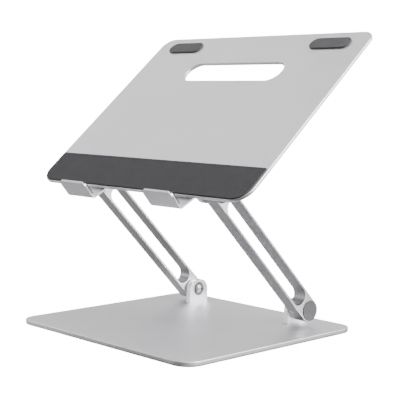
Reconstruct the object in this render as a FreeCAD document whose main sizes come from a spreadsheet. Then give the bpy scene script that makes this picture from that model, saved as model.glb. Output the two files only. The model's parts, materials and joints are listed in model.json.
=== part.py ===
"""Height-adjustable laptop stand: base plate, two slotted friction arms, tilting tray with hooks.

Row frame: millimetres, +Z up, the user sits at -Y, +X is the user's right hand.
The origin is on the floor under the middle of the base plate.
Angles are those of the stored pose: the arms lean towards the user and the tray slopes up
away from the user.
"""
import FreeCAD, Part
import math
import os
import re

import Sketcher

# ---------------------------------------------------------------- driving dimensions (mm, degrees)
SIZES = {
    "base_width": 220, "base_depth": 204, "base_thick": 4.5, "base_corner": 16,
    "base_top_round": 0.7, "base_bottom_round": 1.6,
    "foot_height": 1.0, "foot_span": 20, "foot_radius": 6, "foot_inset_x": 26, "foot_inset_y": 17,
    "foot_round": 0.3,
    "tray_width": 260, "tray_length": 208, "tray_thick": 3.0,
    "tray_front_corner": 17, "tray_rear_corner": 12,
    "tray_top_round": 0.6, "tray_bottom_round": 1.1,
    "hand_slot_span": 94, "hand_slot_radius": 12.5, "hand_slot_from_front": 155.7,
    "hand_slot_round": 0.5,
    "front_pad_inset": 1.2, "front_pad_side": 1.7, "front_pad_depth": 35.6, "front_pad_thick": 1.0,
    "front_pad_corner": 14, "front_pad_rear_corner": 1.5, "pad_round": 0.3,
    "rear_pad_span": 30, "rear_pad_radius": 7, "rear_pad_thick": 1.5,
    "rear_pad_offset": 90.3, "rear_pad_from_front": 192.2,
    "arm_inner": 67.2, "arm_thick": 13.3, "arm_half": 10.0, "arm_length": 157, "arm_round": 0.6,
    "slot_half": 8.0, "slot_end": 20.3, "slot_round": 0.3,
    "arm_lift": 45, "tray_tilt": 40.5,
    "axis_depth": 74.1, "hinge_rise": 13.1, "axis_from_front": 23.0,
    "ear_inner": 60.5, "ear_thick": 5, "ear_half": 11.8, "ear_rise": 22, "ear_corner": 9.5,
    "ear_round": 0.4,
    "flange_inner": 38.5, "base_flange_thick": 1.6, "tray_flange_thick": 3.0, "flange_corner": 2.0,
    "ear_slot_play": 0.2, "ear_slot_notch": 2.6, "recess_play": 0.2,
    "pin_radius": 3.0, "pin_play": 0.05, "pin_head_radius": 6.7, "pin_head_rise": 3.4,
    "pin_head_sphere": 7.9, "pin_end_proud": 0.2,
    "bush_radius": 4.5, "bush_flange_radius": 8.5,
    "well_radius": 8.3, "well_depth": 8.0,
    "washer_radius": 8.0, "washer_thick": 1.0,
    "spring_radius": 7.5, "spring_thick": 0.9, "spring_rise": 1.4,
    "nut_across_corners": 11.54, "nut_thick": 4.1,
    "cap_radius": 9.25, "cap_thick": 0.9, "cap_round": 0.3,
    "cap_skirt_radius": 8.25, "cap_skirt_wall": 1.2, "cap_skirt_depth": 1.2,
    "screw_radius": 1.5, "screw_play": 0.05, "screw_head_radius": 2.6, "screw_head_depth": 1.1,
    "screw_spacing": 14, "screw_x": 48, "base_screw_hole": 2.3,
    "hook_middle": 54.6, "hook_width": 34.6, "hook_thick": 1.9, "hook_reach": 14.2,
    "hook_lip_top": 16.9, "hook_slope": 13.5, "hook_tongue_end": 34.8, "hook_tongue_edge": 60,
    "hook_shoulder": 7.5, "hook_bend_inner": 1.2, "hook_lip_corner": 4.5, "hook_edge_round": 0.4,
    "hook_pad_thick": 1.4, "hook_pad_half": 16.9, "hook_pad_low": 2.2, "hook_pad_high": 16.3,
    "hook_pad_corner": 0.8,
}

SIDES = {"right": 1, "left": -1}
HALF_TURN = 180.0  # degrees

doc = FreeCAD.newDocument("laptop_stand")
sheet = doc.addObject("Spreadsheet::Sheet", "Sizes")
for row, (alias, value) in enumerate(SIZES.items(), start=1):
    sheet.set(f"A{row}", alias)
    sheet.set(f"B{row}", str(value))
    sheet.setAlias(f"B{row}", alias)
doc.recompute()

parts = []


# ---------------------------------------------------------------- expressions and placements
def bind(item, field, formula):
    """Ties a field of an object to a formula in the sheet's aliases."""
    def with_sheet(word):
        name = word.group()
        return f"Sizes.{name}" if name in SIZES else name

    item.setExpression(field, re.sub(r"[a-z_]+", with_sheet, formula))


def tray_frame():
    """Origin at the middle of the tray's front edge, on its top face; Y runs up the tray."""
    tilt = math.radians(sheet.tray_tilt)
    pivot = upper_pivot()
    along = FreeCAD.Vector(0, math.cos(tilt), math.sin(tilt))
    normal = FreeCAD.Vector(0, -math.sin(tilt), math.cos(tilt))
    below_top = sheet.hinge_rise + sheet.tray_thick
    start = pivot - along * sheet.axis_from_front + normal * below_top
    return FreeCAD.Placement(start, FreeCAD.Rotation(FreeCAD.Vector(1, 0, 0), sheet.tray_tilt))


def lower_pivot():
    """The point where the lower hinge axis crosses the middle plane."""
    base_top = sheet.foot_height + sheet.base_thick
    return FreeCAD.Vector(0, sheet.axis_depth, base_top + sheet.hinge_rise)


def upper_pivot():
    """The point where the upper hinge axis crosses the middle plane."""
    lift = math.radians(sheet.arm_lift)
    reach = FreeCAD.Vector(0, -math.cos(lift), math.sin(lift)) * sheet.arm_length
    return lower_pivot() + reach


def arm_frame(side):
    """Origin on the lower axis; Y runs up the arm. The left arm is the right one turned over."""
    about_x = FreeCAD.Rotation(FreeCAD.Vector(1, 0, 0), HALF_TURN - sheet.arm_lift)
    turned = FreeCAD.Rotation(FreeCAD.Vector(0, 1, 0), 0 if side > 0 else HALF_TURN)
    return FreeCAD.Placement(lower_pivot(), about_x.multiply(turned))


def pivot_frame(level, side):
    """Z runs outwards along the hinge axis, measured from the middle plane."""
    point = lower_pivot() if level == "lower" else upper_pivot()
    return FreeCAD.Placement(point, FreeCAD.Rotation(FreeCAD.Vector(0, 1, 0), 90 * side))


def bracket_frame(level, side):
    """Z stands out of the plate that carries the ear, from that plate's inner face."""
    if level == "lower":
        rise = sheet.foot_height + sheet.base_thick
        frame = FreeCAD.Placement(FreeCAD.Vector(0, sheet.axis_depth, rise), FreeCAD.Rotation())
    else:
        seat = FreeCAD.Placement(
            FreeCAD.Vector(0, sheet.axis_from_front, -sheet.tray_thick),
            FreeCAD.Rotation(FreeCAD.Vector(1, 0, 0), HALF_TURN),
        )
        frame = tray_frame().multiply(seat)
    turn = FreeCAD.Rotation(FreeCAD.Vector(0, 0, 1), 0 if side > 0 else HALF_TURN)
    return frame.multiply(FreeCAD.Placement(FreeCAD.Vector(), turn))


# ---------------------------------------------------------------- sketches
def new_body(name, frame):
    """An empty body that becomes one sub-part."""
    body = doc.addObject("PartDesign::Body", name)
    body.Label = name
    body.Placement = frame
    parts.append(body)
    return body


def new_sketch(body, name, role, across="0", up="0", out="0"):
    """A sketch on one of the body's own planes, its origin moved by three formulas."""
    plane = next(item for item in body.Origin.OriginFeatures if item.Role == role)
    sketch = body.newObject("Sketcher::SketchObject", f"{body.Name}_{name}")
    sketch.AttachmentSupport = (plane, [""])
    sketch.MapMode = "FlatFace"
    for letter, formula in zip("xyz", (across, up, out)):
        if formula != "0":
            bind(sketch, f"AttachmentOffset.Base.{letter}", formula)
    return sketch


def size_constraint(sketch, kind, formula, *where):
    """Adds a dimension and ties it to a formula."""
    index = sketch.addConstraint(Sketcher.Constraint(kind, *where, 1.0))
    bind(sketch, f"Constraints[{index}]", formula)


def draw_rectangle(sketch, width, height):
    """A rectangle centred on the sketch's origin."""
    corner = [FreeCAD.Vector(x, y, 0) for x, y in ((-5, -4), (5, -4), (5, 4), (-5, 4))]
    for i in range(4):
        sketch.addGeometry(Part.LineSegment(corner[i], corner[(i + 1) % 4]), False)
    for i in range(4):
        sketch.addConstraint(Sketcher.Constraint("Coincident", i, 2, (i + 1) % 4, 1))
    for i in (0, 2):
        sketch.addConstraint(Sketcher.Constraint("Horizontal", i))
        sketch.addConstraint(Sketcher.Constraint("Vertical", i + 1))
    sketch.addConstraint(Sketcher.Constraint("Symmetric", 0, 1, 2, 1, -1, 1))
    size_constraint(sketch, "DistanceX", width, 0, 1, 0, 2)
    size_constraint(sketch, "DistanceY", height, 1, 1, 1, 2)


def draw_stadium(sketch, span, radius):
    """Two half circles a span apart along the sketch's X axis, joined by straight sides."""
    half, size = 20.0, 5.0
    up = FreeCAD.Vector(0, 0, 1)
    right, left = FreeCAD.Vector(half, 0, 0), FreeCAD.Vector(-half, 0, 0)
    quarter = math.pi / 2
    sketch.addGeometry(Part.ArcOfCircle(Part.Circle(right, up, size), -quarter, quarter), False)
    sketch.addGeometry(Part.ArcOfCircle(Part.Circle(left, up, size), quarter, 3 * quarter), False)
    for height, ends in ((size, (right, left)), (-size, (left, right))):
        points = [end + FreeCAD.Vector(0, height, 0) for end in ends]
        sketch.addGeometry(Part.LineSegment(*points), False)
    for arc, arc_end, line, line_end in ((0, 2, 2, 1), (2, 2, 1, 1), (1, 2, 3, 1), (3, 2, 0, 1)):
        sketch.addConstraint(Sketcher.Constraint("Tangent", arc, arc_end, line, line_end))
    sketch.addConstraint(Sketcher.Constraint("Equal", 0, 1))
    sketch.addConstraint(Sketcher.Constraint("PointOnObject", 0, 3, -1))
    sketch.addConstraint(Sketcher.Constraint("Symmetric", 0, 3, 1, 3, -1, 1))
    size_constraint(sketch, "DistanceX", span, 1, 3, 0, 3)
    size_constraint(sketch, "Radius", radius, 0)


def draw_circle(sketch, radius):
    """A circle about the sketch's origin."""
    circle = Part.Circle(FreeCAD.Vector(), FreeCAD.Vector(0, 0, 1), 3.0)
    index = sketch.addGeometry(circle, False)
    sketch.addConstraint(Sketcher.Constraint("Coincident", index, 3, -1, 1))
    size_constraint(sketch, "Radius", radius, index)


def draw_circle_pair(sketch, radius, spacing, along_x=False):
    """Two equal circles, the same distance to each side of the sketch's origin."""
    way = FreeCAD.Vector(8, 0, 0) if along_x else FreeCAD.Vector(0, 8, 0)
    for centre in (way * -1, way):
        sketch.addGeometry(Part.Circle(centre, FreeCAD.Vector(0, 0, 1), 2.0), False)
    sketch.addConstraint(Sketcher.Constraint("Equal", 0, 1))
    sketch.addConstraint(Sketcher.Constraint("PointOnObject", 0, 3, -1 if along_x else -2))
    sketch.addConstraint(Sketcher.Constraint("Symmetric", 0, 3, 1, 3, -1, 1))
    size_constraint(sketch, "DistanceX" if along_x else "DistanceY", spacing, 0, 3, 1, 3)
    size_constraint(sketch, "Radius", radius, 0)


def draw_outline(sketch, points):
    """A closed outline of straight sides; each corner is a pair of formulas and a rough guess."""
    count = len(points)
    rough = [FreeCAD.Vector(*point[2], 0) for point in points]
    for i in range(count):
        sketch.addGeometry(Part.LineSegment(rough[i], rough[(i + 1) % count]), False)
    for i in range(count):
        sketch.addConstraint(Sketcher.Constraint("Coincident", i, 2, (i + 1) % count, 1))
    for i, (across, up, guess) in enumerate(points):
        for kind, formula, at_zero in (("DistanceX", across, -2), ("DistanceY", up, -1)):
            if formula == "0":
                sketch.addConstraint(Sketcher.Constraint("PointOnObject", i, 1, at_zero))
            else:
                size_constraint(sketch, kind, formula, -1, 1, i, 1)


# ---------------------------------------------------------------- features
def volume(body):
    """The body's volume after a recompute."""
    doc.recompute()
    return body.Shape.Volume


def add_pad(body, sketch, length):
    """Pushes a sketch out along its normal."""
    pad = body.newObject("PartDesign::Pad", f"{sketch.Name}_pad")
    pad.Profile = sketch
    bind(pad, "Length", length)
    sketch.Visibility = False
    doc.recompute()
    return pad


def add_pocket(body, sketch, length):
    """Cuts a sketch down against its normal and makes sure that it removed something."""
    before = volume(body)
    pocket = body.newObject("PartDesign::Pocket", f"{sketch.Name}_pocket")
    pocket.Profile = sketch
    bind(pocket, "Length", length)
    if not volume(body) < before - 1e-6:
        raise RuntimeError(f"{pocket.Name} cuts nothing")
    return pocket


def add_round(body, name, chosen, radius, kind="Fillet"):
    """Rounds or bevels the edges of the body's last feature that the test chooses."""
    tip = body.Tip
    edges = [f"Edge{i}" for i, edge in enumerate(tip.Shape.Edges, start=1) if chosen(edge)]
    if not edges:
        raise RuntimeError(f"{body.Name} {name} finds no edge")
    dress = body.newObject(f"PartDesign::{kind}", f"{body.Name}_{name}")
    dress.Base = (tip, edges)
    bind(dress, "Radius" if kind == "Fillet" else "Size", radius)
    doc.recompute()
    return dress


def along(letter):
    """A test for straight edges that run along X, Y or Z."""
    way = {"x": FreeCAD.Vector(1, 0, 0), "y": FreeCAD.Vector(0, 1, 0), "z": FreeCAD.Vector(0, 0, 1)}

    def chosen(edge):
        if edge.Curve.TypeId != "Part::GeomLine":
            return False
        return abs(edge.Curve.Direction.dot(way[letter])) > 0.999

    return chosen


def on_level(letter, level):
    """A test for edges that lie wholly in a plane across X, Y or Z."""
    def chosen(edge):
        low = getattr(edge.BoundBox, f"{letter.upper()}Min")
        high = getattr(edge.BoundBox, f"{letter.upper()}Max")
        return abs(low - level) < 1e-3 and abs(high - level) < 1e-3

    return chosen


def both(first, second):
    """A test that two tests agree on."""
    return lambda edge: first(edge) and second(edge)


def middle(edge):
    """The middle of an edge's box."""
    return edge.BoundBox.Center


def mirror_to_left(body, originals):
    """Repeats cuts made on the right at the same places on the left."""
    plane = next(item for item in body.Origin.OriginFeatures if item.Role == "YZ_Plane")
    mirrored = body.newObject("PartDesign::Mirrored", f"{body.Name}_mirrored")
    mirrored.Originals = originals
    mirrored.MirrorPlane = (plane, [""])
    body.Tip = mirrored
    doc.recompute()
    return mirrored


# ---------------------------------------------------------------- base
def make_base_plate():
    """The plate on the desk, recessed below and slotted through for the hinge brackets."""
    body = new_body("base_plate", FreeCAD.Placement())
    outline = new_sketch(body, "outline", "XY_Plane", out="foot_height")
    draw_rectangle(outline, "base_width", "base_depth")
    add_pad(body, outline, "base_thick")
    add_round(body, "corners", along("z"), "base_corner")
    top = sheet.foot_height + sheet.base_thick
    add_round(body, "top_round", on_level("z", top), "base_top_round")
    add_round(body, "bottom_round", on_level("z", sheet.foot_height), "base_bottom_round")

    recess = new_sketch(body, "recess", "XY_Plane", "( flange_inner + ear_inner + ear_thick ) / 2",
                        "axis_depth", "foot_height + base_flange_thick")
    draw_rectangle(recess, "ear_inner + ear_thick - flange_inner + 2 * recess_play",
                   "2 * ear_half + 2 * recess_play")
    recess_cut = add_pocket(body, recess, "base_flange_thick")

    slot = new_sketch(body, "ear_slot", "XY_Plane", "ear_inner + ear_thick / 2",
                      "axis_depth - ear_slot_notch / 2", "foot_height + base_thick")
    draw_rectangle(slot, "ear_thick + 2 * ear_slot_play",
                   "2 * ear_half + 2 * ear_slot_play + ear_slot_notch")
    slot_cut = add_pocket(body, slot, "base_thick")

    holes = new_sketch(body, "screw_holes", "XY_Plane", "screw_x", "axis_depth",
                       "foot_height + base_flange_thick + base_screw_hole")
    draw_circle_pair(holes, "screw_radius + screw_play", "screw_spacing")
    hole_cut = add_pocket(body, holes, "base_screw_hole + base_flange_thick")
    mirror_to_left(body, [recess_cut, slot_cut, hole_cut])


def make_feet():
    """Four rubber feet glued under the plate near its corners."""
    for end, front in (("front", -1), ("rear", 1)):
        for name, side in SIDES.items():
            body = new_body(f"{end}_{name}_foot", FreeCAD.Placement())
            outline = new_sketch(body, "outline", "XY_Plane",
                                 f"{side} * ( base_width / 2 - foot_inset_x )",
                                 f"{front} * ( base_depth / 2 - foot_inset_y )")
            draw_stadium(outline, "foot_span", "foot_radius")
            add_pad(body, outline, "foot_height")
            add_round(body, "rim", on_level("z", 0), "foot_round")


# ---------------------------------------------------------------- brackets
def make_bracket(level, side_name):
    """An L-shaped hinge bracket: a flange under or against a plate and a round-shouldered ear."""
    side = SIDES[side_name]
    carrier = "base" if level == "lower" else "tray"
    body = new_body(f"{side_name}_{carrier}_bracket", bracket_frame(level, side))
    if level == "lower":
        flange_low, flange_thick = "0 - base_thick", "base_flange_thick"
        low = -sheet.base_thick
    else:
        flange_low, flange_thick = "hook_thick", "tray_flange_thick"
        low = sheet.hook_thick
    ear = new_sketch(body, "ear", "YZ_Plane", "0", f"( ear_rise + {flange_low} ) / 2", "ear_inner")
    draw_rectangle(ear, "2 * ear_half", f"ear_rise - ( {flange_low} )")
    add_pad(body, ear, "ear_thick")
    high = sheet.ear_rise
    add_round(body, "shoulders", both(along("x"), lambda e: abs(middle(e).z - high) < 1e-3),
              "ear_corner")
    for face, x in (("inner", sheet.ear_inner), ("outer", sheet.ear_inner + sheet.ear_thick)):
        rim = both(on_level("x", x), lambda e: middle(e).z > low + 1e-3)
        add_round(body, f"{face}_rim", rim, "ear_round")

    flange = new_sketch(body, "flange", "XY_Plane", "( flange_inner + ear_inner + ear_round ) / 2",
                        "0", flange_low)
    draw_rectangle(flange, "ear_inner + ear_round - flange_inner", "2 * ear_half")
    add_pad(body, flange, flange_thick)
    far_end = both(along("z"), lambda e: abs(middle(e).x - sheet.flange_inner) < 1e-3)
    add_round(body, "flange_corners", far_end, "flange_corner")

    bore = new_sketch(body, "bore", "YZ_Plane", "0", "hinge_rise", "ear_inner + ear_thick")
    draw_circle(bore, "pin_radius + pin_play")
    add_pocket(body, bore, "ear_thick")

    holes = new_sketch(body, "screw_holes", "XY_Plane", "screw_x", "0",
                       f"{flange_low} + {flange_thick}")
    draw_circle_pair(holes, "screw_radius + screw_play", "screw_spacing")
    add_pocket(body, holes, flange_thick)
    if level == "lower":
        mouth = both(on_level("z", low), lambda e: e.Curve.TypeId == "Part::GeomCircle"
                     and abs(e.Curve.Radius - sheet.screw_radius - sheet.screw_play) < 1e-3)
        add_round(body, "countersinks", mouth, "screw_head_depth", kind="Chamfer")


def make_screws(name, frame, head_level, length):
    """Countersunk screws, two for each bracket, all in one sub-part."""
    solids = []
    for side in SIDES.values():
        for row in (-1, 1):
            shank = doc.addObject("Part::Cylinder", f"{name}_shank")
            head = doc.addObject("Part::Cone", f"{name}_head")
            bind(shank, "Radius", "screw_radius")
            bind(shank, "Height", length)
            bind(head, "Radius1", "screw_head_radius")
            bind(head, "Radius2", "screw_radius")
            bind(head, "Height", "screw_head_depth")
            for item in (shank, head):
                bind(item, "Placement.Base.x", f"{side} * screw_x")
                bind(item, "Placement.Base.y", f"{row} * screw_spacing / 2")
                bind(item, "Placement.Base.z", head_level)
            screw = doc.addObject("Part::Fuse", f"{name}_screw")
            screw.Base, screw.Tool = shank, head
            solids.append(screw)
    group = doc.addObject("Part::Compound", name)
    group.Label = name
    group.Links = solids
    group.Placement = frame
    parts.append(group)


# ---------------------------------------------------------------- arms and hinges
def make_arm(side_name):
    """A flat bar with round ends, a long slot, and a stepped well for the hinge at each end."""
    body = new_body(f"{side_name}_arm", arm_frame(SIDES[side_name]))
    outer = "arm_inner + arm_thick"
    bar = new_sketch(body, "bar", "YZ_Plane", "arm_length / 2", "0", "arm_inner")
    draw_stadium(bar, "arm_length", "arm_half")
    add_pad(body, bar, "arm_thick")
    for face, x in (("inner", sheet.arm_inner), ("outer", sheet.arm_inner + sheet.arm_thick)):
        add_round(body, f"{face}_rim", on_level("x", x), "arm_round")

    slot = new_sketch(body, "slot", "YZ_Plane", "arm_length / 2", "0", outer)
    draw_stadium(slot, "arm_length - 2 * slot_end", "slot_half")
    add_pocket(body, slot, "arm_thick")
    for face, x in (("inner", sheet.arm_inner), ("outer", sheet.arm_inner + sheet.arm_thick)):
        mouth = both(on_level("x", x), lambda e: abs(e.BoundBox.ZMax) < sheet.slot_half + 1e-3)
        add_round(body, f"{face}_slot_rim", mouth, "slot_round")

    for name, radius, depth in (("bores", "bush_radius", "arm_thick"),
                                ("wells", "well_radius", "well_depth")):
        rings = new_sketch(body, name, "YZ_Plane", "arm_length / 2", "0", outer)
        draw_circle_pair(rings, radius, "arm_length", along_x=True)
        add_pocket(body, rings, depth)


def turned_piece(name, frame, points):
    """A ring turned about the hinge axis from an outline of (distance from axis, height)."""
    body = new_body(name, frame)
    profile = new_sketch(body, "profile", "XZ_Plane")
    draw_outline(profile, points)
    turn = body.newObject("PartDesign::Revolution", f"{name}_turn")
    turn.Profile = profile
    turn.ReferenceAxis = (profile, ["V_Axis"])
    turn.Angle = 360
    doc.recompute()
    return body


def make_pin(name, frame):
    """A pivot pin: a domed head against the ear and a shank that ends in the nut."""
    end = "arm_inner + arm_thick - well_depth + washer_thick + spring_rise + nut_thick"
    shank = doc.addObject("Part::Cylinder", f"{name}_shank")
    bind(shank, "Radius", "pin_radius")
    bind(shank, "Height", f"{end} + pin_end_proud - ear_inner + pin_head_rise / 2")
    bind(shank, "Placement.Base.z", "ear_inner - pin_head_rise / 2")
    ball = doc.addObject("Part::Sphere", f"{name}_ball")
    bind(ball, "Radius", "pin_head_sphere")
    bind(ball, "Placement.Base.z", "ear_inner - pin_head_rise + pin_head_sphere")
    blank = doc.addObject("Part::Cylinder", f"{name}_blank")
    bind(blank, "Radius", "pin_head_radius")
    bind(blank, "Height", "pin_head_rise")
    bind(blank, "Placement.Base.z", "ear_inner - pin_head_rise")
    dome = doc.addObject("Part::Common", f"{name}_dome")
    dome.Base, dome.Tool = ball, blank
    pin = doc.addObject("Part::Fuse", name)
    pin.Base, pin.Tool = dome, shank
    pin.Label = name
    pin.Placement = frame
    parts.append(pin)


def make_bush(name, frame):
    """A flanged bush: its sleeve lines the arm's bore and its flange parts the arm from the ear."""
    bore = "pin_radius + pin_play"
    floor = "arm_inner + arm_thick - well_depth"
    turned_piece(name, frame, [
        (bore, "ear_inner + ear_thick", (3, 66)),
        ("bush_flange_radius", "ear_inner + ear_thick", (8, 66)),
        ("bush_flange_radius", "arm_inner", (8, 67)),
        ("bush_radius - pin_play", "arm_inner", (4, 67)),
        ("bush_radius - pin_play", f"{floor} - 2 * pin_play", (4, 71.9)),
        (bore, f"{floor} - 2 * pin_play", (3, 71.9)),
    ])


def make_washer(name, frame):
    """The flat friction washer on the floor of the arm's well."""
    bore = "pin_radius + pin_play"
    floor = "arm_inner + arm_thick - well_depth"
    turned_piece(name, frame, [
        (bore, floor, (3, 72)),
        ("washer_radius", floor, (8, 72)),
        ("washer_radius", f"{floor} + washer_thick", (8, 73)),
        (bore, f"{floor} + washer_thick", (3, 73)),
    ])


def make_spring(name, frame):
    """A coned disc spring: its wide rim bears on the washer and its bore on the nut."""
    bore = "pin_radius + 2 * pin_play"
    seat = "arm_inner + arm_thick - well_depth + washer_thick"
    turned_piece(name, frame, [
        (bore, f"{seat} + spring_rise - spring_thick", (3.1, 74)),
        ("spring_radius", seat, (7.5, 73.5)),
        ("spring_radius", f"{seat} + spring_thick", (7.5, 74.4)),
        (bore, f"{seat} + spring_rise", (3.1, 74.9)),
    ])


def make_nut(name, frame):
    """The hexagonal lock nut that squeezes the hinge."""
    seat = "arm_inner + arm_thick - well_depth + washer_thick + spring_rise"
    hexagon = doc.addObject("Part::Prism", f"{name}_hexagon")
    hexagon.Polygon = 6
    bind(hexagon, "Circumradius", "nut_across_corners / 2")
    bind(hexagon, "Height", "nut_thick")
    thread = doc.addObject("Part::Cylinder", f"{name}_thread")
    bind(thread, "Radius", "pin_radius + pin_play")
    bind(thread, "Height", "nut_thick")
    for item in (hexagon, thread):
        bind(item, "Placement.Base.z", seat)
    nut = doc.addObject("Part::Cut", name)
    nut.Base, nut.Tool = hexagon, thread
    nut.Label = name
    nut.Placement = frame
    parts.append(nut)


def make_cap(name, frame):
    """The round cover of a hinge: a disc on the arm's face and a skirt pushed into the well."""
    body = new_body(name, frame)
    seat = "arm_inner + arm_thick"
    disc = new_sketch(body, "disc", "XY_Plane", out=seat)
    draw_circle(disc, "cap_radius")
    add_pad(body, disc, "cap_thick")
    top = sheet.arm_inner + sheet.arm_thick + sheet.cap_thick
    add_round(body, "rim", on_level("z", top), "cap_round")
    skirt = new_sketch(body, "skirt", "XY_Plane", out=f"{seat} - cap_skirt_depth")
    draw_circle(skirt, "cap_skirt_radius")
    draw_circle(skirt, "cap_skirt_radius - cap_skirt_wall")
    add_pad(body, skirt, "cap_skirt_depth + cap_thick / 2")


def make_hinge(level, side_name):
    """Everything threaded on one end of a pivot pin."""
    frame = pivot_frame(level, SIDES[side_name])
    start = f"{side_name}_{level}"
    make_pin(f"{start}_pivot_pin", frame)
    make_bush(f"{start}_bush", frame)
    make_washer(f"{start}_friction_washer", frame)
    make_spring(f"{start}_disc_spring", frame)
    make_nut(f"{start}_lock_nut", frame)
    make_cap(f"{start}_cap", frame)


# ---------------------------------------------------------------- tray
def make_tray():
    """The plate under the laptop, with a hand slot and countersunk holes at its brackets."""
    body = new_body("tray_plate", tray_frame())
    outline = new_sketch(body, "outline", "XY_Plane", "0", "tray_length / 2", "0 - tray_thick")
    draw_rectangle(outline, "tray_width", "tray_length")
    add_pad(body, outline, "tray_thick")
    half = sheet.tray_length / 2
    add_round(body, "front_corners", both(along("z"), lambda e: middle(e).y < half),
              "tray_front_corner")
    add_round(body, "rear_corners", both(along("z"), lambda e: abs(middle(e).y - 2 * half) < 1e-3),
              "tray_rear_corner")
    add_round(body, "top_round", on_level("z", 0), "tray_top_round")
    add_round(body, "bottom_round", on_level("z", -sheet.tray_thick), "tray_bottom_round")

    slot = new_sketch(body, "hand_slot", "XY_Plane", "0", "hand_slot_from_front")
    draw_stadium(slot, "hand_slot_span", "hand_slot_radius")
    add_pocket(body, slot, "tray_thick")
    for face, z in (("top", 0), ("bottom", -sheet.tray_thick)):
        mouth = both(on_level("z", z), beside_hand_slot)
        add_round(body, f"slot_{face}_round", mouth, "hand_slot_round")

    holes = new_sketch(body, "screw_holes", "XY_Plane", "screw_x", "axis_from_front")
    draw_circle_pair(holes, "screw_radius + screw_play", "screw_spacing")
    hole_cut = add_pocket(body, holes, "tray_thick")
    mirror_to_left(body, [hole_cut])
    mouth = both(on_level("z", 0), lambda e: e.Curve.TypeId == "Part::GeomCircle"
                 and abs(e.Curve.Radius - sheet.screw_radius - sheet.screw_play) < 1e-3)
    add_round(body, "countersinks", mouth, "screw_head_depth", kind="Chamfer")


def beside_hand_slot(edge):
    """Whether an edge lies along the hand slot and not at the tray's rim."""
    place = middle(edge)
    off_centre = abs(place.y - sheet.hand_slot_from_front)
    return abs(place.x) < sheet.hand_slot_span and off_centre < sheet.hand_slot_radius + 1e-3


def make_front_pad():
    """The rubber strip across the tray's front, rounded with the tray's corners."""
    body = new_body("front_pad", tray_frame())
    outline = new_sketch(body, "outline", "XY_Plane", "0", "front_pad_inset + front_pad_depth / 2")
    draw_rectangle(outline, "tray_width - 2 * front_pad_side", "front_pad_depth")
    add_pad(body, outline, "front_pad_thick")
    half = sheet.front_pad_inset + sheet.front_pad_depth / 2
    add_round(body, "front_corners", both(along("z"), lambda e: middle(e).y < half),
              "front_pad_corner")
    rear = sheet.front_pad_inset + sheet.front_pad_depth
    add_round(body, "rear_corners", both(along("z"), lambda e: abs(middle(e).y - rear) < 1e-3),
              "front_pad_rear_corner")
    add_round(body, "rim", on_level("z", sheet.front_pad_thick), "pad_round")


def make_rear_pad(side_name):
    """A short round-ended rubber pad near one rear corner of the tray."""
    side = SIDES[side_name]
    body = new_body(f"{side_name}_rear_pad", tray_frame())
    outline = new_sketch(body, "outline", "XY_Plane", f"{side} * rear_pad_offset",
                         "rear_pad_from_front")
    draw_stadium(outline, "rear_pad_span", "rear_pad_radius")
    add_pad(body, outline, "rear_pad_thick")
    add_round(body, "rim", on_level("z", sheet.rear_pad_thick), "pad_round")


def make_hook(side_name):
    """A bent strip: a tongue under the tray, a short slope in front of it and an upright lip."""
    side = SIDES[side_name]
    body = new_body(f"{side_name}_hook", tray_frame())
    half_bend = "hook_thick * tan(hook_slope / 2 * 1deg)"
    slope = "tan(hook_slope * 1deg)"
    under = "0 - tray_thick"
    strip = new_sketch(body, "strip", "YZ_Plane",
                       out=f"{side} * hook_middle - hook_width / 2")
    draw_outline(strip, [
        ("hook_tongue_end", under, (35, -3)),
        ("0", under, (0, -3)),
        ("hook_thick - hook_reach", f"( hook_reach - hook_thick ) * {slope} - tray_thick", (-10, 0)),
        ("hook_thick - hook_reach", "hook_lip_top", (-10, 16)),
        ("0 - hook_reach", "hook_lip_top", (-13, 16)),
        ("0 - hook_reach",
         f"( hook_reach - {half_bend} ) * {slope} - tray_thick - hook_thick", (-13, -2)),
        (f"0 - {half_bend}", "0 - tray_thick - hook_thick", (-0.4, -6)),
        ("hook_tongue_end", "0 - tray_thick - hook_thick", (35, -6)),
    ])
    add_pad(body, strip, "hook_width")
    lip_inner = sheet.hook_thick - sheet.hook_reach
    bend_in = both(along("x"), lambda e: abs(middle(e).y - lip_inner) < 1e-3 and middle(e).z < 4)
    bend_out = both(along("x"), lambda e: abs(middle(e).y + sheet.hook_reach) < 1e-3
                    and middle(e).z < 4)
    add_round(body, "inner_bend", bend_in, "hook_bend_inner")
    add_round(body, "outer_bend", bend_out, "hook_bend_inner + hook_thick")

    spare = new_sketch(body, "spare", "XY_Plane",
                       f"{side} * ( hook_middle + hook_width / 2 + hook_tongue_edge ) / 2",
                       "( hook_shoulder + hook_tongue_end ) / 2 + 1")
    draw_rectangle(spare, "hook_middle + hook_width / 2 - hook_tongue_edge",
                   "hook_tongue_end - hook_shoulder + 2")
    add_pocket(body, spare, "tray_thick + 2 * hook_thick")

    lip_corner = both(along("y"), lambda e: abs(middle(e).z - sheet.hook_lip_top) < 1e-3)
    add_round(body, "lip_corners", lip_corner, "hook_lip_corner")
    add_round(body, "lip_rim", lip_face_edges(-sheet.hook_reach), "hook_edge_round")

    holes = new_sketch(body, "screw_holes", "XY_Plane", f"{side} * screw_x", "axis_from_front")
    draw_circle_pair(holes, "screw_radius + screw_play", "screw_spacing")
    add_pocket(body, holes, "tray_thick + 2 * hook_thick")


def lip_face_edges(y):
    """A test for the edges around the lip's outer face, at a distance in front of the tray."""
    flat = on_level("y", y)
    return lambda edge: flat(edge) and middle(edge).z > 4


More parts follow.
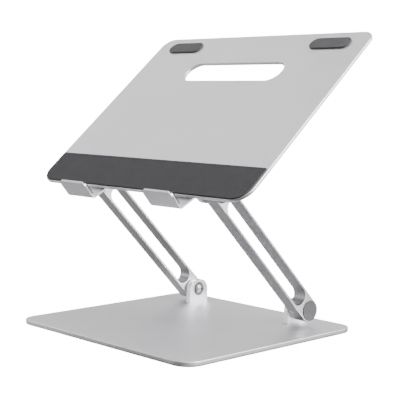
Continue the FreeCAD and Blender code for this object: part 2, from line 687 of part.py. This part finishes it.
def make_hook_pad(side_name):
    """The rubber strip on the inner side of a hook's lip."""
    side = SIDES[side_name]
    body = new_body(f"{side_name}_hook_pad", tray_frame())
    outline = new_sketch(body, "outline", "XZ_Plane", f"{side} * hook_middle",
                         "( hook_pad_low + hook_pad_high ) / 2",
                         "hook_reach - hook_thick - hook_pad_thick")
    draw_rectangle(outline, "2 * hook_pad_half", "hook_pad_high - hook_pad_low")
    add_pad(body, outline, "hook_pad_thick")
    add_round(body, "corners", along("y"), "hook_pad_corner")


# ---------------------------------------------------------------- assembly
def check_document():
    """Stops when any object failed to compute or any sub-part has no sound shape."""
    doc.recompute()
    for item in doc.Objects:
        if "Invalid" in item.State or "Error" in item.State:
            raise RuntimeError(f"{item.Name} did not compute: {item.State}")
    for part in parts:
        if part.Shape.isNull() or not part.Shape.isValid() or not part.Shape.Solids:
            raise RuntimeError(f"{part.Label} has no sound shape")


make_base_plate()
make_feet()
for side_name in SIDES:
    make_arm(side_name)
    make_hook(side_name)
    make_hook_pad(side_name)
    make_rear_pad(side_name)
    for level in ("lower", "upper"):
        make_bracket(level, side_name)
        make_hinge(level, side_name)
make_tray()
make_front_pad()

floor_screws = FreeCAD.Placement(FreeCAD.Vector(0, sheet.axis_depth, 0), FreeCAD.Rotation())
make_screws("base_bracket_screws", floor_screws, "foot_height",
            "base_flange_thick + base_screw_hole - 2 * screw_play")
tray_screws = tray_frame().multiply(FreeCAD.Placement(
    FreeCAD.Vector(0, sheet.axis_from_front, 0), FreeCAD.Rotation(FreeCAD.Vector(1, 0, 0), HALF_TURN)))
make_screws("tray_bracket_screws", tray_screws, "0", "tray_thick + hook_thick + tray_flange_thick")

check_document()
os.makedirs("parts", exist_ok=True)
for part in parts:
    part.Shape.exportStep(f"parts/{part.Label}.step")
    print(f"{part.Label}: {part.Shape.Volume:.1f} mm3, {len(part.Shape.Solids)} solid(s)")
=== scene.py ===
"""Laptop stand: finishes, rubber pads, feet, hinge hardware and a soft studio round the frame."""
import json
import math

import bpy
from mathutils import Matrix, Vector


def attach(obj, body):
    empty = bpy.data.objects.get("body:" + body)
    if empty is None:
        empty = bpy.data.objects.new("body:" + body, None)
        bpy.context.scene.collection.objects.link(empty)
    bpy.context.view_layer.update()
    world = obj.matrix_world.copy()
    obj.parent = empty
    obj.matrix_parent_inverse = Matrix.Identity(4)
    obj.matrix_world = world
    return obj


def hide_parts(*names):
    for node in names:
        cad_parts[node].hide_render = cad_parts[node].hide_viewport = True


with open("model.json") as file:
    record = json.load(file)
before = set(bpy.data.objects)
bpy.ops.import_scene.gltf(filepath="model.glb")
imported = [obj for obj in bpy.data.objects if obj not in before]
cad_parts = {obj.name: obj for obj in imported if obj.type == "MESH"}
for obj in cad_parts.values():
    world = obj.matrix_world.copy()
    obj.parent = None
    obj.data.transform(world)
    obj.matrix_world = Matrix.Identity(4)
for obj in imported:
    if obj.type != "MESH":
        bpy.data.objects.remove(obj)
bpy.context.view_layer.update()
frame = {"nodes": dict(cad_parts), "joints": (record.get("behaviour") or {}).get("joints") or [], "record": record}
nodes = frame["nodes"]

MM = 0.001
SIDES = {"right": 1, "left": -1}

# ---------------------------------------------------------------- places read from the frame
joints = {joint["name"]: joint for joint in frame["joints"]}
TRAY_TILT = math.radians(40.5)
AXIS_BEHIND_EDGE = 23.0 * MM  # from the tray's front edge to the hinge axis, along the tray
AXIS_BELOW_FACE = 16.1 * MM  # from the tray's top face to the hinge axis
TRAY_SPAN = 256.6 * MM
PAD_CORNER = 14 * MM
HOOK_FROM_MIDDLE = 54.6 * MM
FOOT_FROM_MIDDLE = 84 * MM
FOOT_FROM_CENTRE_LINE = 85 * MM


def tray_place(across=0.0, up_tray=0.0, above=0.0):
    """A frame on the tray's top face: X to the right, Y up the tray from its front edge."""
    turn = Matrix.Rotation(TRAY_TILT, 4, "X")
    axis = Matrix.Translation(Vector((0, *joints["tray_tilt"]["pos_m"][1:])))
    shift = Vector((across, up_tray - AXIS_BEHIND_EDGE, above + AXIS_BELOW_FACE))
    return axis @ turn @ Matrix.Translation(shift)


# ---------------------------------------------------------------- modelling
def start(kind, name, **settings):
    """A new primitive with nothing else selected."""
    bpy.ops.object.select_all(action="DESELECT")
    getattr(bpy.ops.mesh, f"primitive_{kind}_add")(**settings)
    piece = bpy.context.object
    piece.name = piece.data.name = name
    return piece


def start_block(name, width, depth, height):
    """A block that stands on its own XY plane."""
    block = start("cube", name, size=1)
    block.scale = width, depth, height
    block.location = 0, 0, height / 2
    bpy.ops.object.transform_apply(location=True, rotation=False, scale=True)
    return block


def select(piece, kind, test):
    """Enters edit mode with only the chosen faces, edges or corners selected."""
    bpy.ops.object.mode_set(mode="EDIT")
    bpy.ops.mesh.select_mode(type=kind)
    bpy.ops.mesh.select_all(action="DESELECT")
    bpy.ops.object.mode_set(mode="OBJECT")
    mesh = piece.data
    for item in {"FACE": mesh.polygons, "EDGE": mesh.edges, "VERT": mesh.vertices}[kind]:
        item.select = bool(test(mesh, item))
    bpy.ops.object.mode_set(mode="EDIT")


def done():
    bpy.ops.object.mode_set(mode="OBJECT")


def face_looks(x, y, z, level=None):
    """A test for faces that look one way, at a height if one is given."""
    def chosen(mesh, face):
        if face.normal.dot(Vector((x, y, z))) < 0.99:
            return False
        return level is None or abs(face.center.z - level) < 1e-6

    return chosen


def upright_edge(y_sign=0):
    """A test for upright edges, all or only those before (-1) or behind (1) the middle."""
    def chosen(mesh, edge):
        first, last = (mesh.vertices[i].co for i in edge.vertices)
        upright = (first.xy - last.xy).length < 1e-7
        return upright and (y_sign == 0 or first.y * y_sign > 0)

    return chosen


def rim_edge(level):
    """A test for the edges that bound the flat face at a height."""
    def chosen(mesh, edge):
        ends = [mesh.vertices[i].co.z for i in edge.vertices]
        return all(abs(end - level) < 1e-6 for end in ends)

    return chosen


def bevel(piece, test, offset, segments):
    select(piece, "EDGE", test)
    bpy.ops.mesh.bevel(offset=offset, offset_type="OFFSET", segments=segments, profile=0.5)
    done()


def round_ends(piece, radius):
    """Rounds a block's upright edges, and joins the points that meet at its two ends."""
    bevel(piece, upright_edge(), radius, 12)
    select(piece, "VERT", lambda mesh, point: True)
    bpy.ops.mesh.remove_doubles(threshold=0.05 * MM)
    done()


def step(piece, test, inset, rise):
    """Insets the chosen face and lifts or sinks what is left of it."""
    select(piece, "FACE", test)
    bpy.ops.mesh.inset(thickness=inset, depth=0, use_even_offset=True)
    bpy.ops.transform.translate(value=(0, 0, rise))
    done()


def finish_piece(piece, place, smooth=35):
    """Puts a piece in its place, with that place in its mesh, and smooths its shading."""
    bpy.ops.object.select_all(action="DESELECT")
    piece.select_set(True)
    bpy.context.view_layer.objects.active = piece
    piece.matrix_world = place
    bpy.ops.object.transform_apply(location=True, rotation=True, scale=True)
    bpy.ops.object.shade_smooth_by_angle(angle=math.radians(smooth))
    return piece


def give(piece, body, slot, node, finish=None):
    """Hands a piece to its body, its finish and the node it stands for."""
    piece.data.materials.clear()
    piece.data.materials.append(FINISHES[finish or slot])
    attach(piece, body)
    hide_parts(node)


# ---------------------------------------------------------------- pads and feet
def soft_edged_pad(name, width, depth, thick, corner, place, rear_corner=None, crown=0.0):
    """A moulded rubber pad: rounded corners, a rolled rim and a slightly crowned face."""
    pad = start_block(name, width, depth, thick - crown)
    if rear_corner is None:
        round_ends(pad, corner)
    else:
        bevel(pad, upright_edge(-1), corner, 16)
        bevel(pad, upright_edge(1), rear_corner, 5)
    roll = 0.3 * MM
    bevel(pad, rim_edge(thick - crown), roll, 4)
    step(pad, face_looks(0, 0, 1, thick - crown), 0.2 * MM, 0)
    if crown:
        step(pad, face_looks(0, 0, 1, thick - crown), 0.9 * MM, crown * 0.6)
        step(pad, face_looks(0, 0, 1, thick - crown * 0.4), 1.8 * MM, crown * 0.4)
    return finish_piece(pad, place)


def make_tray_pads():
    """The strip across the tray's front and the two short pads at its rear corners."""
    front = soft_edged_pad("front_pad_rubber", TRAY_SPAN, 35.6 * MM, 1.0 * MM, PAD_CORNER,
                           tray_place(0, 19.0 * MM, 0), rear_corner=1.5 * MM)
    give(front, "tray", "pad_rubber", "front_pad")
    for name, side in SIDES.items():
        place = tray_place(side * 90.3 * MM, 192.2 * MM, 0)
        rear = soft_edged_pad(f"{name}_rear_pad_rubber", 44 * MM, 14 * MM, 1.5 * MM, 6.99 * MM,
                              place, crown=0.12 * MM)
        # the rear pads take a lighter copy of the pad rubber: painted sheen
        give(rear, "tray", "pad_rubber", f"{name}_rear_pad", finish="rear_pad")


def make_hook_pads():
    """The strips inside the hooks' lips, which the laptop's edge rests on."""
    low, high, behind = 2.2 * MM, 16.3 * MM, 12.3 * MM
    small = 0.8 * MM
    stand_up = Matrix.Rotation(-math.pi / 2, 4, "X")
    for name, side in SIDES.items():
        place = tray_place(side * HOOK_FROM_MIDDLE, -behind, (low + high) / 2) @ stand_up
        pad = soft_edged_pad(f"{name}_hook_pad_rubber", 33.8 * MM, high - low, 1.4 * MM,
                             small, place, rear_corner=small)
        give(pad, "tray", "pad_rubber", f"{name}_hook_pad")


def make_feet():
    """Round-ended rubber feet with a sunk sole and a gripping rib along it."""
    height = 1.0 * MM
    sunk = 0.35 * MM
    flank = 0.25 * MM
    sole = face_looks(0, 0, -1, 0)
    floor_of_sole = face_looks(0, 0, -1, sunk)
    for end, front in (("front", -1), ("rear", 1)):
        for name, side in SIDES.items():
            foot = start_block(f"{end}_{name}_foot_rubber", 32 * MM, 12 * MM, height)
            round_ends(foot, 5.99 * MM)
            bevel(foot, rim_edge(0), 0.3 * MM, 3)
            step(foot, sole, 1.3 * MM, 0)
            step(foot, sole, flank, sunk)
            step(foot, floor_of_sole, 1.6 * MM, 0)
            step(foot, floor_of_sole, flank, -sunk)
            place = Matrix.Translation(
                (side * FOOT_FROM_MIDDLE, front * FOOT_FROM_CENTRE_LINE, 0))
            finish_piece(foot, place, 30)
            give(foot, "base", "foot_rubber", f"{end}_{name}_foot")


# ---------------------------------------------------------------- hardware
def socket_screw():
    """A countersunk screw, head down on the XY plane, with a hexagonal socket in its head."""
    screw = start("cone", "base_screw", vertices=32, radius1=2.6 * MM, radius2=1.5 * MM,
                  depth=1.1 * MM, location=(0, 0, 0.55 * MM))
    bpy.ops.object.transform_apply(location=True, rotation=False, scale=False)
    select(screw, "FACE", face_looks(0, 0, 1))
    bpy.ops.mesh.extrude_region_move(TRANSFORM_OT_translate={"value": (0, 0, 2.7 * MM)})
    select(screw, "FACE", face_looks(0, 0, 1))
    bpy.ops.mesh.bevel(offset=0.3 * MM, segments=1)
    select(screw, "FACE", face_looks(0, 0, -1, 0))
    bpy.ops.mesh.delete(type="ONLY_FACE")
    bpy.ops.mesh.select_all(action="DESELECT")
    bpy.ops.mesh.primitive_circle_add(vertices=6, radius=1.15 * MM, location=(0, 0, 0))
    done()
    select(screw, "EDGE", rim_edge(0))
    bpy.ops.mesh.bridge_edge_loops()
    select(screw, "EDGE", lambda mesh, edge: all(
        abs(mesh.vertices[i].co.z) < 1e-6 and mesh.vertices[i].co.xy.length < 1.3 * MM
        for i in edge.vertices))
    bpy.ops.mesh.extrude_region_move(TRANSFORM_OT_translate={"value": (0, 0, 0.8 * MM)})
    bpy.ops.mesh.edge_face_add()
    bpy.ops.mesh.select_all(action="SELECT")
    bpy.ops.mesh.normals_make_consistent(inside=False)
    done()
    return screw


def make_base_screws():
    """Two screws for each base bracket, seen from below."""
    model = socket_screw()
    copies = []
    axis_depth = joints["right_arm_lift"]["pos_m"][1]
    for side in SIDES.values():
        for row in (-1, 1):
            copy = model.copy()
            copy.data = model.data.copy()
            bpy.context.scene.collection.objects.link(copy)
            spot = Vector((side * 48 * MM, axis_depth + row * 7 * MM, 1.0 * MM))
            turn = Matrix.Rotation(math.radians(17 * row + 23 * side), 4, "Z")
            copies.append(finish_piece(copy, Matrix.Translation(spot) @ turn, 30))
    bpy.data.objects.remove(model)
    bpy.ops.object.select_all(action="DESELECT")
    for copy in copies:
        copy.select_set(True)
    bpy.context.view_layer.objects.active = copies[0]
    bpy.ops.object.join()
    copies[0].name = copies[0].data.name = "base_socket_screws"
    give(copies[0], "base", "screw_steel", "base_bracket_screws")


# ---------------------------------------------------------------- materials
class Finish:
    """A node material under construction: a Principled shader and short ways to feed it."""

    def __init__(self, name, colour, metallic, roughness):
        self.material = bpy.data.materials.new(name)
        self.material.use_nodes = True
        self.tree = self.material.node_tree
        self.shader = self.tree.nodes["Principled BSDF"]
        self.shader.inputs["Base Color"].default_value = (*colour, 1)
        self.shader.inputs["Metallic"].default_value = metallic
        self.shader.inputs["Roughness"].default_value = roughness
        texture_place = self.node("ShaderNodeTexCoord")
        self.place = texture_place.outputs["Object"]
        self.facing = texture_place.outputs["Normal"]

    def node(self, kind, **settings):
        made = self.tree.nodes.new(kind)
        for field, value in settings.items():
            setattr(made, field, value)
        return made

    def link(self, output, socket):
        self.tree.links.new(output, socket)

    def stretched(self, scale):
        """Object coordinates, stretched along each axis."""
        mapping = self.node("ShaderNodeMapping")
        mapping.inputs["Scale"].default_value = scale
        self.link(self.place, mapping.inputs["Vector"])
        return mapping.outputs["Vector"]

    def noise(self, scale, detail=2.0, rough=0.5, vector=None):
        """A noise pattern; its scale is in cells per metre."""
        pattern = self.node("ShaderNodeTexNoise")
        pattern.inputs["Scale"].default_value = scale
        pattern.inputs["Detail"].default_value = detail
        pattern.inputs["Roughness"].default_value = rough
        self.link(vector or self.place, pattern.inputs["Vector"])
        return pattern.outputs["Fac"]

    def ranged(self, value, low, high, from_low, from_high):
        """Spreads the part of a value between two limits over two other limits."""
        spread = self.node("ShaderNodeMapRange")
        spread.inputs["From Min"].default_value = from_low
        spread.inputs["From Max"].default_value = from_high
        spread.inputs["To Min"].default_value = low
        spread.inputs["To Max"].default_value = high
        self.link(value, spread.inputs["Value"])
        return spread.outputs["Result"]

    def blend(self, factor, first, second):
        """A colour between two, by a factor."""
        mix = self.node("ShaderNodeMix", data_type="RGBA")
        mix.inputs["A"].default_value = (*first, 1)
        mix.inputs["B"].default_value = (*second, 1)
        self.link(factor, mix.inputs["Factor"])
        return mix.outputs["Result"]

    def sideways(self, from_low, from_high):
        """How far the surface looks along the piece's own X axis, either way."""
        parts = self.node("ShaderNodeSeparateXYZ")
        self.link(self.facing, parts.inputs["Vector"])
        size = self.node("ShaderNodeMath", operation="ABSOLUTE")
        self.link(parts.outputs["X"], size.inputs[0])
        return self.ranged(size.outputs["Value"], 0, 1, from_low, from_high)

    def bump(self, height, strength, distance):
        """Raises the surface by a height pattern."""
        raise_by = self.node("ShaderNodeBump")
        raise_by.inputs["Strength"].default_value = strength
        raise_by.inputs["Distance"].default_value = distance
        self.link(height, raise_by.inputs["Height"])
        self.link(raise_by.outputs["Normal"], self.shader.inputs["Normal"])

    def set_colour(self, colour):
        self.link(colour, self.shader.inputs["Base Color"])

    def set_roughness(self, value):
        self.link(value, self.shader.inputs["Roughness"])


BLASTED_ROUGHNESS = 0.42


def blasted_aluminium(name, bright, edges=None):
    """Bead-blasted, clear anodised aluminium: fine even grain and faint cloudy patches.

    With edges given, faces that don't look along X, the narrow faces of an upright plate, are
    that bright instead: painted shade, darker than the lamps leave them.
    """
    rough = BLASTED_ROUGHNESS
    finish = Finish(name, (bright, bright, bright), 1.0, rough)
    grain = finish.noise(2600, 3.0, 0.6)
    cloud = finish.noise(14, 3.0, 0.5)
    dark = tuple(bright * tint for tint in (0.957, 0.950, 0.985))
    light = tuple(min(1, bright * tint) for tint in (1.018, 1.010, 1.045))
    colour = finish.blend(finish.ranged(cloud, 0, 1, 0.3, 0.7), dark, light)
    if edges is not None:
        # painted shade: faces that don't look along the piece's X are darkened to the edges brightness
        shaded_share = edges / bright
        painted_shade_tone = finish.blend(finish.sideways(0.5, 0.9), (shaded_share, shaded_share, shaded_share), (1, 1, 1))
        product = finish.node("ShaderNodeMix", data_type="RGBA", blend_type="MULTIPLY")
        product.inputs["Factor"].default_value = 1
        finish.link(colour, product.inputs["A"])
        finish.link(painted_shade_tone, product.inputs["B"])
        colour = product.outputs["Result"]
    finish.set_colour(colour)
    finish.set_roughness(finish.ranged(grain, rough - 0.06, rough + 0.06, 0.25, 0.75))
    finish.bump(grain, 0.12, 0.03 * MM)
    return finish.material


def rubber(name, dark, light, roughness=0.72):
    """Moulded silicone rubber with a fine matt grain and a little dust in it."""
    finish = Finish(name, dark, 0.0, roughness)
    grain = finish.noise(2200, 4.0, 0.65)
    dust = finish.noise(60, 4.0, 0.6)
    finish.set_colour(finish.blend(finish.ranged(dust, 0, 1, 0.35, 0.7), dark, light))
    finish.set_roughness(finish.ranged(grain, roughness - 0.06, roughness + 0.08, 0.3, 0.7))
    finish.bump(grain, 0.35, 0.06 * MM)
    finish.shader.inputs["Specular IOR Level"].default_value = 0.35
    return finish.material


def moulded_plastic(name, dark, light, roughness=0.5, gloss=0.5):
    """Plastic with a fine spark-eroded texture from its mould."""
    finish = Finish(name, dark, 0.0, roughness)
    grain = finish.noise(1800, 3.0, 0.6)
    finish.set_colour(finish.blend(finish.ranged(grain, 0, 1, 0.35, 0.65), dark, light))
    finish.set_roughness(finish.ranged(grain, roughness - 0.05, roughness + 0.07, 0.3, 0.7))
    finish.bump(grain, 0.2, 0.04 * MM)
    finish.shader.inputs["Specular IOR Level"].default_value = gloss
    return finish.material


def turned_steel(name, colour, roughness):
    """Turned or ground steel: fine tool marks round the hinge axis and a slight stain."""
    finish = Finish(name, colour, 1.0, roughness)
    marks = finish.noise(900, 3.0, vector=finish.stretched((1, 0.15, 0.15)))
    stain = finish.noise(240, 3.0)
    dark = tuple(part * 0.86 for part in colour)
    finish.set_colour(finish.blend(finish.ranged(stain, 0, 1, 0.35, 0.65), dark, colour))
    finish.set_roughness(finish.ranged(marks, roughness - 0.06, roughness + 0.08, 0.3, 0.7))
    finish.bump(marks, 0.1, 0.02 * MM)
    return finish.material


# painted shade: base, tray, hooks, arms and brackets are one blasted aluminium, given lighter and darker copies
# (0.92, 0.79, 0.95, 0.77, 0.95) that stand in for the light each part catches; the arms' narrow faces are painted
# darker still
FINISHES = {
    "base_aluminium": blasted_aluminium("blasted base aluminium", 0.92),
    "tray_aluminium": blasted_aluminium("blasted tray aluminium", 0.79),
    "arm_aluminium": blasted_aluminium("blasted arm aluminium", 0.95, edges=0.38),
    "hook_aluminium": blasted_aluminium("blasted hook aluminium", 0.77),
    "bracket_aluminium": blasted_aluminium("blasted bracket aluminium", 0.95),
    "pin_steel": turned_steel("nickel-plated pin", (0.25, 0.25, 0.26), 0.28),
    "washer_steel": turned_steel("ground washer", (0.55, 0.55, 0.56), 0.34),
    "spring_steel": turned_steel("oiled spring", (0.34, 0.34, 0.35), 0.38),
    "nut_steel": turned_steel("zinc-plated nut", (0.60, 0.60, 0.61), 0.32),
    "screw_steel": turned_steel("zinc-plated screw", (0.52, 0.52, 0.53), 0.32),
    "bush_polymer": moulded_plastic("pale bush polymer", (0.40, 0.40, 0.41), (0.48, 0.48, 0.48)),
    "cap_grey": moulded_plastic("grey cap plastic", (0.088, 0.088, 0.093), (0.102, 0.102, 0.107),
                                roughness=0.65, gloss=0.10),
    "pad_rubber": rubber("dark grey pad rubber", (0.044, 0.044, 0.049), (0.049, 0.049, 0.054)),
    # painted sheen: the same rubber as the front pad, made lighter to stand in for the sheen the rear pads catch
    "rear_pad": rubber("sheen-lit pad rubber", (0.080, 0.080, 0.085), (0.096, 0.096, 0.101)),
    "foot_rubber": rubber("black foot rubber", (0.016, 0.016, 0.017), (0.03, 0.03, 0.03), 0.8),
}

for entry in frame["record"]["subparts"]:
    slots = nodes[entry["node"]].data.materials
    slots.clear()
    slots.append(FINISHES[entry["material_slot"]])

make_tray_pads()
make_hook_pads()
make_feet()
make_base_screws()


# ---------------------------------------------------------------- studio
WHITE_STRENGTH = 16  # what the camera sees behind and under the stand
STAGE_SIZE = 12
FLOOR_DROP = 0.1 * MM


def make_camera():
    """Looks from the front right, a little above the tray's hinges."""
    data = bpy.data.cameras.new("camera")
    data.lens = 95.99
    data.sensor_width = 36
    camera = bpy.data.objects.new("camera", data)
    bpy.context.scene.collection.objects.link(camera)
    turn, drop, roll = (math.radians(angle) for angle in (46.02, 5.51, 0.81))
    camera.matrix_world = (
        Matrix.Translation((0.6790, -0.6397, 0.2046))
        @ Matrix.Rotation(turn, 4, "Z")
        @ Matrix.Rotation(math.pi / 2 - drop, 4, "X")
        @ Matrix.Rotation(roll, 4, "Z")
    )
    bpy.context.scene.camera = camera


def make_lamp(name, place, size, power):
    """A square soft lamp that faces the middle of the stand."""
    data = bpy.data.lights.new(name, "AREA")
    data.shape = "SQUARE"
    data.size = size
    data.energy = power
    lamp = bpy.data.objects.new(name, data)
    bpy.context.scene.collection.objects.link(lamp)
    middle = Vector((0, 0, 0.12))
    lamp.location = place
    lamp.rotation_euler = (middle - Vector(place)).to_track_quat("-Z", "Y").to_euler()


def make_floor():
    """A plain floor, just under the feet, that looks white, reflects little light back up, and glows in a painted
    pool of light a little left of the middle.
    """
    bpy.ops.mesh.primitive_plane_add(size=STAGE_SIZE, location=(0, 0, -FLOOR_DROP))
    floor = bpy.context.object
    floor.name = "floor"
    paint = Finish("pale floor", (0.06, 0.06, 0.06), 0.0, 0.9)
    paint.shader.inputs["Emission Color"].default_value = (1, 1, 1, 1)
    # painted light: the floor glows round a spot 0.3 m to the left, 0.68 strong within 5 cm and gone by 35 cm; the
    # camera sees only the plain white
    gap = paint.node("ShaderNodeVectorMath", operation="DISTANCE")
    paint.link(paint.place, gap.inputs[0])
    gap.inputs[1].default_value = -0.3, 0, 0
    painted_light_pool = paint.ranged(gap.outputs["Value"], 0, 0.68, 0.35, 0.05)
    paint.link(painted_light_pool, paint.shader.inputs["Emission Strength"])
    glow = paint.node("ShaderNodeEmission")
    glow.inputs["Strength"].default_value = WHITE_STRENGTH
    seen = paint.node("ShaderNodeLightPath")
    mix = paint.node("ShaderNodeMixShader")
    paint.link(seen.outputs["Is Camera Ray"], mix.inputs["Fac"])
    paint.link(paint.shader.outputs["BSDF"], mix.inputs[1])
    paint.link(glow.outputs["Emission"], mix.inputs[2])
    paint.link(mix.outputs["Shader"], paint.tree.nodes["Material Output"].inputs["Surface"])
    floor.data.materials.append(paint.material)


def make_room():
    """A white backdrop, and soft light mostly from the right and a little from behind."""
    world = bpy.data.worlds.new("pale room")
    bpy.context.scene.world = world
    world.use_nodes = True
    tree = world.node_tree
    walls = tree.nodes["Background"]
    walls.inputs["Color"].default_value = (1, 1, 1, 1)
    way = tree.nodes.new("ShaderNodeTexCoord").outputs["Generated"]
    total = None
    for towards, strength in (((1, 0, 0), 2.4), ((0, 1, 0), 1.5), ((-1, 0, 0), 0.5)):
        facing = tree.nodes.new("ShaderNodeVectorMath")
        facing.operation = "DOT_PRODUCT"
        facing.inputs[1].default_value = towards
        tree.links.new(way, facing.inputs[0])
        ahead = tree.nodes.new("ShaderNodeMath")
        ahead.operation = "MAXIMUM"
        ahead.inputs[1].default_value = 0
        tree.links.new(facing.outputs["Value"], ahead.inputs[0])
        squared = tree.nodes.new("ShaderNodeMath")
        squared.operation = "POWER"
        squared.inputs[1].default_value = 2
        tree.links.new(ahead.outputs["Value"], squared.inputs[0])
        added = tree.nodes.new("ShaderNodeMath")
        added.operation = "MULTIPLY_ADD"
        added.inputs[1].default_value = strength
        added.inputs[2].default_value = 0
        tree.links.new(squared.outputs["Value"], added.inputs[0])
        if total:
            tree.links.new(total, added.inputs[2])
        total = added.outputs["Value"]
    tree.links.new(total, walls.inputs["Strength"])
    white = tree.nodes.new("ShaderNodeBackground")
    white.inputs["Color"].default_value = (1, 1, 1, 1)
    white.inputs["Strength"].default_value = WHITE_STRENGTH
    seen = tree.nodes.new("ShaderNodeLightPath")
    mix = tree.nodes.new("ShaderNodeMixShader")
    tree.links.new(seen.outputs["Is Camera Ray"], mix.inputs["Fac"])
    tree.links.new(walls.outputs["Background"], mix.inputs[1])
    tree.links.new(white.outputs["Background"], mix.inputs[2])
    tree.links.new(mix.outputs["Shader"], tree.nodes["World Output"].inputs["Surface"])


def make_studio():
    """A pale floor, a pale room and four soft lamps."""
    make_floor()
    make_room()
    make_lamp("right softbox", (1.0, 0.3, 0.55), 0.8, 26)
    make_lamp("left overhead softbox", (-1.3, 0.0, 1.3), 1.2, 6)
    make_lamp("top softbox", (0.0, 0.0, 2.1), 1.4, 27)
    make_lamp("left front softbox", (-1.6, -1.3, 0.35), 1.0, 11)


make_camera()
make_studio()
